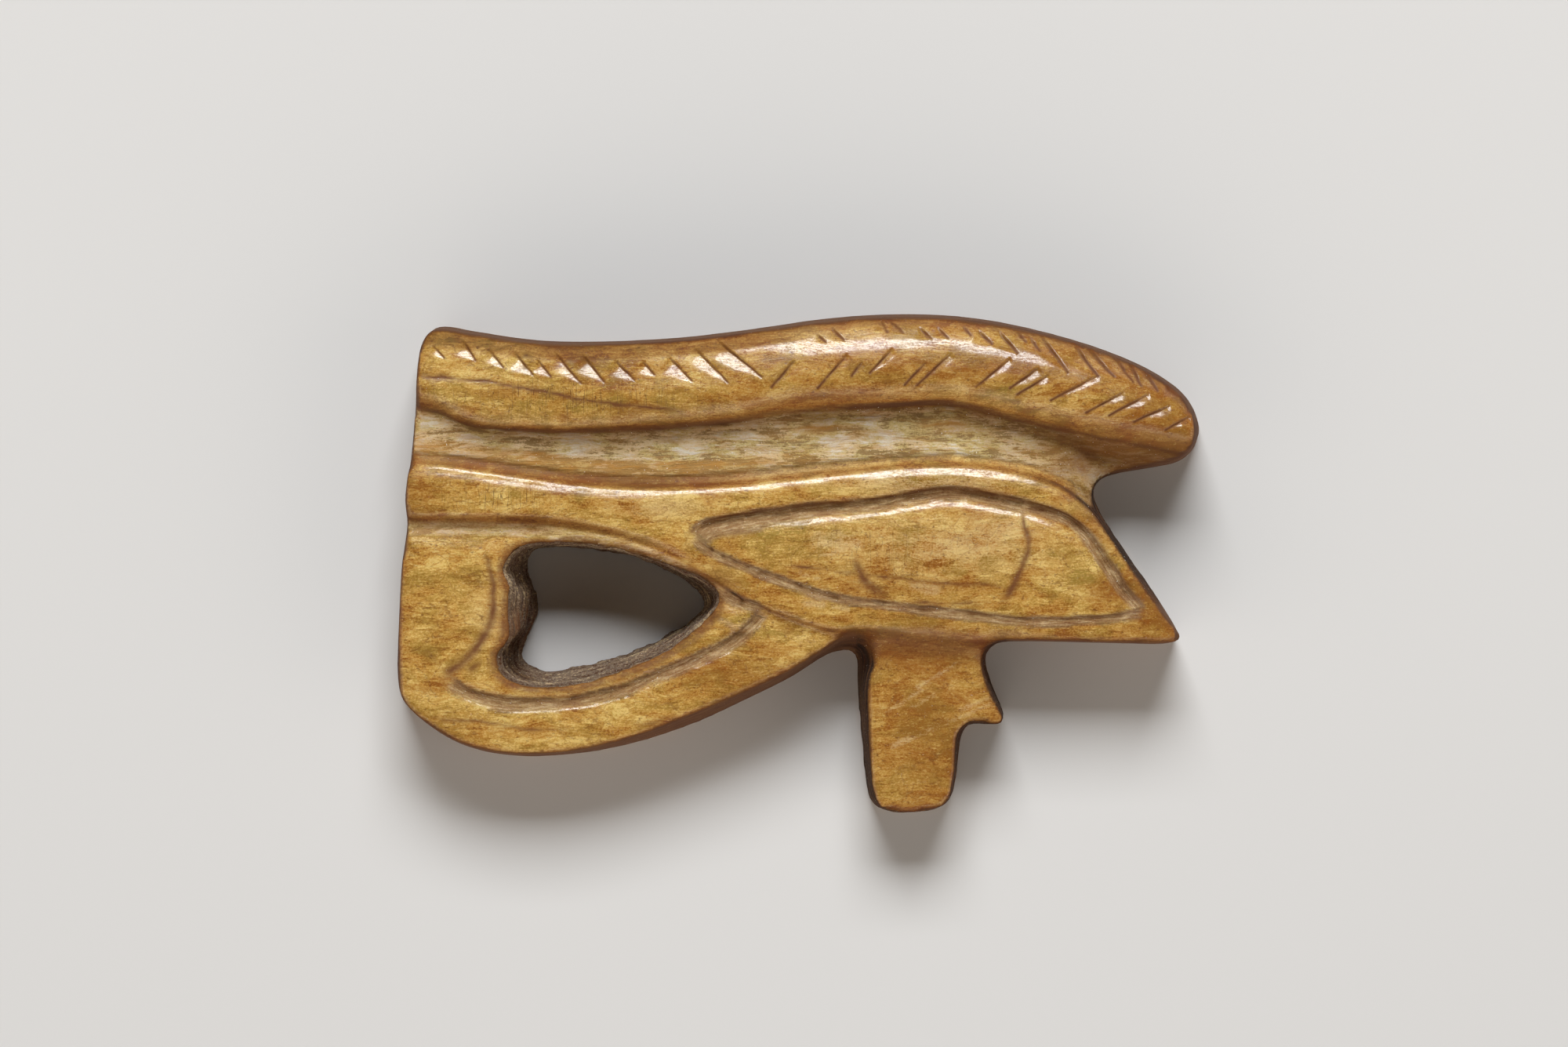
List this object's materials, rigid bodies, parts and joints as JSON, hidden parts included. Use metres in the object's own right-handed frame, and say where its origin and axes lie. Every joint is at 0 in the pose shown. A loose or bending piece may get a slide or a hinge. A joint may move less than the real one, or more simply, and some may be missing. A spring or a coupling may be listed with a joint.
{
  "type": "wedjat eye amulet",
  "caption": "Wedjat eye amulet carved in one piece, with a hatched brow, a domed eye, an openwork tear panel and tail, and a leg with a spur.",
  "frame": {"origin": "middle of the flat back, where the amulet lies on a table", "axes": "+X along the brow towards its rounded nose, +Y up the face from the leg to the brow, +Z out of the carved front"},
  "size_m": [0.06, 0.0374, 0.009],
  "materials": {
    "horn": "polished golden-brown horn with brown dirt in the cuts, and rough grey-brown horn in the channel, in the opening and on the sides"
  },
  "bodies": {
    "root": {"wedjat_amulet": "horn"}
  },
  "joints": []
}
